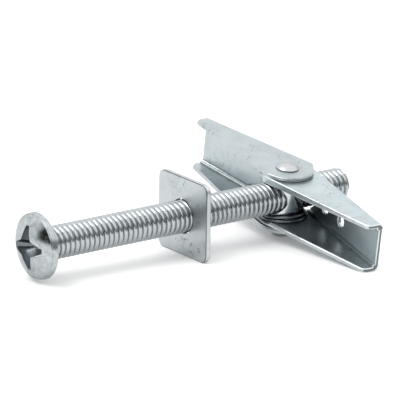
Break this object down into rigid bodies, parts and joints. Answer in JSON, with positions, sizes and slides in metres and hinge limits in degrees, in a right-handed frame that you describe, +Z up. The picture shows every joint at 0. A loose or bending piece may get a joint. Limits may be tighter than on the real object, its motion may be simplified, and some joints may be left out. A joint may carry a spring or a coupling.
{
  "type": "metal hollow wall anchor",
  "caption": "Spring toggle anchor for hollow walls: long pan head machine screw with cross recess, loose square washer and a cross nut with two folded sheet wings that spring open.",
  "frame": {"origin": "on the screw's axis, at the underside of its head", "axes": "+X runs towards the screw's tip, which climbs 1.5 degrees as the anchor lies on a table; +Y is towards the outer wing; +Z is up"},
  "size_m": [0.0674, 0.0506, 0.0158],
  "materials": {
    "zinc_screw": "bright blue zinc plating on turned and rolled steel",
    "zinc_sheet": "bright blue zinc plating on pressed sheet steel, with fine scratches",
    "zinc_nut": "zinc plating on turned steel",
    "spring_wire": "dark drawn spring wire"
  },
  "bodies": {
    "screw": {"machine_screw": "zinc_screw"},
    "washer": {"square_washer": "zinc_sheet"},
    "nut": {"trunnion_nut": "zinc_nut", "torsion_spring": "spring_wire"},
    "left_wing": {"outer_wing": "zinc_sheet"},
    "right_wing": {"inner_wing": "zinc_sheet"}
  },
  "joints": [
    {"name": "nut_travel", "type": "slide", "parent": "screw", "child": "nut", "axis": [0.9997, 0, 0.0262], "range_m": [-0.016, 0.008]},
    {"name": "wing_fold", "type": "hinge", "parent": "nut", "child": "left_wing", "pos_m": [0.05208, 0, 0.00136], "axis": [-0.026, -0.1253, 0.9918], "range_deg": [0, 78], "stiffness_Nm_per_rad": 0.02, "springref_deg": -34.38, "deforming": ["torsion_spring"]},
    {"name": "other_wing_fold", "type": "hinge", "parent": "nut", "child": "right_wing", "pos_m": [0.05208, 0, 0.00136], "axis": [0.026, 0.1253, -0.9918], "range_deg": [0, 78], "stiffness_Nm_per_rad": 0.02, "springref_deg": -34.38},
    {"name": "washer_slide", "type": "slide", "parent": "screw", "child": "washer", "axis": [-0.9997, 0, -0.0262], "range_m": [0, 0.0245]}
  ],
  "couplings": [
    {"joint": "other_wing_fold", "follows": "wing_fold", "ratio": 1},
    {"joint": "washer_slide", "follows": "wing_fold", "m_per_rad": 0.017629}
  ]
}
